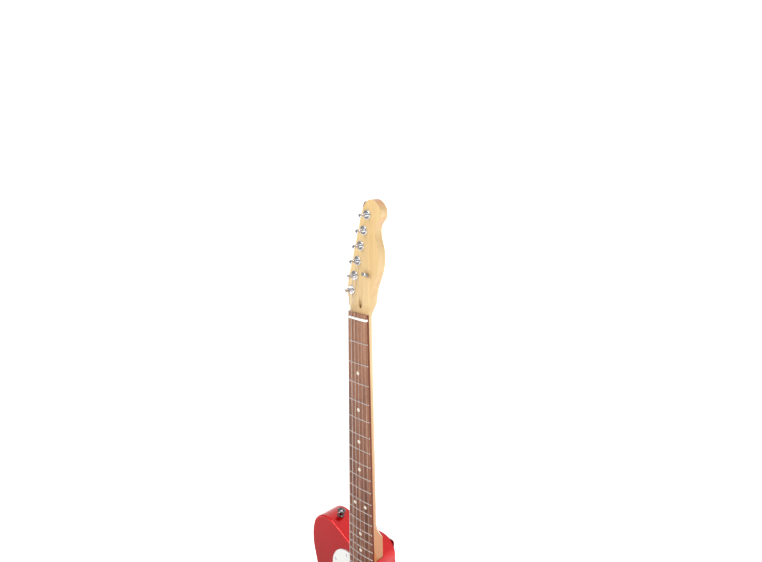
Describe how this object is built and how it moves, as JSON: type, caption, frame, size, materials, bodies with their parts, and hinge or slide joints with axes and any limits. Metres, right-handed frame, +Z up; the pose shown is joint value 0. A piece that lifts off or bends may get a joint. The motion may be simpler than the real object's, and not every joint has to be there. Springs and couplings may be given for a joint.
{
  "type": "electric guitar",
  "caption": "Single-cutaway solid-body electric guitar with a bolted maple neck, rosewood fingerboard, in-line tuners on one side, bridge with string-through holes and two controls.",
  "frame": {"origin": "the hanger seat: on the headstock's centre line, halfway through its thickness, 42 mm above the nut, where a hanger's yoke carries the flare", "axes": "+Z up along the strings to the headstock's tip, +Y to the back of the instrument, +X to the treble side"},
  "size_m": [0.3247, 0.0674, 0.9901],
  "materials": {
    "red_lacquer": "high gloss metallic lacquer",
    "maple": "satin amber lacquer",
    "rosewood": "open grain, oiled",
    "fret_metal": "polished nickel silver",
    "white_nut": "polished",
    "cream_inlay": "pearly",
    "steel": "plain",
    "chrome": "polished",
    "white_plastic": "polished",
    "black_plastic": "satin",
    "copper_wire": "enamelled",
    "aluminium": "satin",
    "string_metal": "nickel wound and plain steel"
  },
  "bodies": {
    "guitar": {"body": "red_lacquer", "neck": "maple", "fretboard": "rosewood", "frets": "fret_metal", "nut": "white_nut", "position_markers": "cream_inlay", "truss_rod": "steel", "string_tree": "chrome", "string_tree_screw": "chrome", "neck_plate": "chrome", "neck_screws": "chrome", "pickguard": "white_plastic", "pickguard_screws": "chrome", "neck_pickup_cover": "chrome", "neck_pickup_bobbin": "black_plastic", "neck_pickup_coil": "copper_wire", "neck_pickup_screws": "chrome", "bridge_plate": "chrome", "bridge_screws": "chrome", "saddles": "chrome", "saddle_height_screws": "steel", "intonation_screws": "steel", "bridge_pickup_bobbin": "black_plastic", "bridge_pickup_coil": "copper_wire", "bridge_pickup_poles": "steel", "bridge_pickup_screws": "chrome", "control_plate": "chrome", "control_plate_screws": "chrome", "switch_frame": "steel", "switch_screws": "chrome", "control_pots": "steel", "panel_nuts": "chrome", "jack_cup": "chrome", "jack_socket": "steel", "strap_buttons": "chrome", "strap_screws": "chrome", "string_ferrules": "chrome", "wound_strings": "string_metal", "plain_strings": "string_metal", "tuner_housings": "chrome", "tuner_bushings": "chrome", "tuner_screws": "chrome"},
    "string_post_1": {"tuner_post_1": "chrome"},
    "tuning_key_1": {"tuner_key_1": "chrome"},
    "string_post_2": {"tuner_post_2": "chrome"},
    "tuning_key_2": {"tuner_key_2": "chrome"},
    "string_post_3": {"tuner_post_3": "chrome"},
    "tuning_key_3": {"tuner_key_3": "chrome"},
    "string_post_4": {"tuner_post_4": "chrome"},
    "tuning_key_4": {"tuner_key_4": "chrome"},
    "string_post_5": {"tuner_post_5": "chrome"},
    "tuning_key_5": {"tuner_key_5": "chrome"},
    "string_post_6": {"tuner_post_6": "chrome"},
    "tuning_key_6": {"tuner_key_6": "chrome"},
    "volume_control": {"volume_shaft": "aluminium", "volume_knob": "chrome"},
    "tone_control": {"tone_shaft": "aluminium", "tone_knob": "chrome"},
    "selector": {"switch_lever": "steel", "switch_tip": "black_plastic"}
  },
  "joints": [
    {"name": "key_1_turn", "type": "hinge", "parent": "guitar", "child": "tuning_key_1", "pos_m": [-0.0182, 0.0169, 0.0007], "axis": [-0.9573, 0, 0.2891], "continuous": true},
    {"name": "post_1_turn", "type": "hinge", "parent": "guitar", "child": "string_post_1", "pos_m": [-0.0182, -0.0146, 0.0007], "axis": [0, -1, 0], "continuous": true},
    {"name": "key_2_turn", "type": "hinge", "parent": "guitar", "child": "tuning_key_2", "pos_m": [-0.01108, 0.0169, 0.02428], "axis": [-0.9573, 0, 0.2891], "continuous": true},
    {"name": "post_2_turn", "type": "hinge", "parent": "guitar", "child": "string_post_2", "pos_m": [-0.01108, -0.0146, 0.02428], "axis": [0, -1, 0], "continuous": true},
    {"name": "key_3_turn", "type": "hinge", "parent": "guitar", "child": "tuning_key_3", "pos_m": [-0.00396, 0.0169, 0.04786], "axis": [-0.9573, 0, 0.2891], "continuous": true},
    {"name": "post_3_turn", "type": "hinge", "parent": "guitar", "child": "string_post_3", "pos_m": [-0.00396, -0.0146, 0.04786], "axis": [0, -1, 0], "continuous": true},
    {"name": "key_4_turn", "type": "hinge", "parent": "guitar", "child": "tuning_key_4", "pos_m": [0.00316, 0.0169, 0.07144], "axis": [-0.9573, 0, 0.2891], "continuous": true},
    {"name": "post_4_turn", "type": "hinge", "parent": "guitar", "child": "string_post_4", "pos_m": [0.00316, -0.0146, 0.07144], "axis": [0, -1, 0], "continuous": true},
    {"name": "key_5_turn", "type": "hinge", "parent": "guitar", "child": "tuning_key_5", "pos_m": [0.01028, 0.0169, 0.09502], "axis": [-0.9573, 0, 0.2891], "continuous": true},
    {"name": "post_5_turn", "type": "hinge", "parent": "guitar", "child": "string_post_5", "pos_m": [0.01028, -0.0146, 0.09502], "axis": [0, -1, 0], "continuous": true},
    {"name": "key_6_turn", "type": "hinge", "parent": "guitar", "child": "tuning_key_6", "pos_m": [0.0174, 0.0169, 0.1186], "axis": [-0.9573, 0, 0.2891], "continuous": true},
    {"name": "post_6_turn", "type": "hinge", "parent": "guitar", "child": "string_post_6", "pos_m": [0.0174, -0.0146, 0.1186], "axis": [0, -1, 0], "continuous": true},
    {"name": "volume_turn", "type": "hinge", "parent": "guitar", "child": "volume_control", "pos_m": [0.069, -0.0146, -0.699], "axis": [0, -1, 0], "range_deg": [-150, 150]},
    {"name": "tone_turn", "type": "hinge", "parent": "guitar", "child": "tone_control", "pos_m": [0.069, -0.0146, -0.737], "axis": [0, -1, 0], "range_deg": [-150, 150]},
    {"name": "selector_tilt", "type": "hinge", "parent": "guitar", "child": "selector", "pos_m": [0.069, 0.0044, -0.6505], "axis": [1, 0, 0], "range_deg": [-14, 14]}
  ],
  "couplings": [
    {"joint": "post_1_turn", "follows": "key_1_turn", "ratio": 0.06667},
    {"joint": "post_2_turn", "follows": "key_2_turn", "ratio": 0.06667},
    {"joint": "post_3_turn", "follows": "key_3_turn", "ratio": 0.06667},
    {"joint": "post_4_turn", "follows": "key_4_turn", "ratio": 0.06667},
    {"joint": "post_5_turn", "follows": "key_5_turn", "ratio": 0.06667},
    {"joint": "post_6_turn", "follows": "key_6_turn", "ratio": 0.06667}
  ]
}
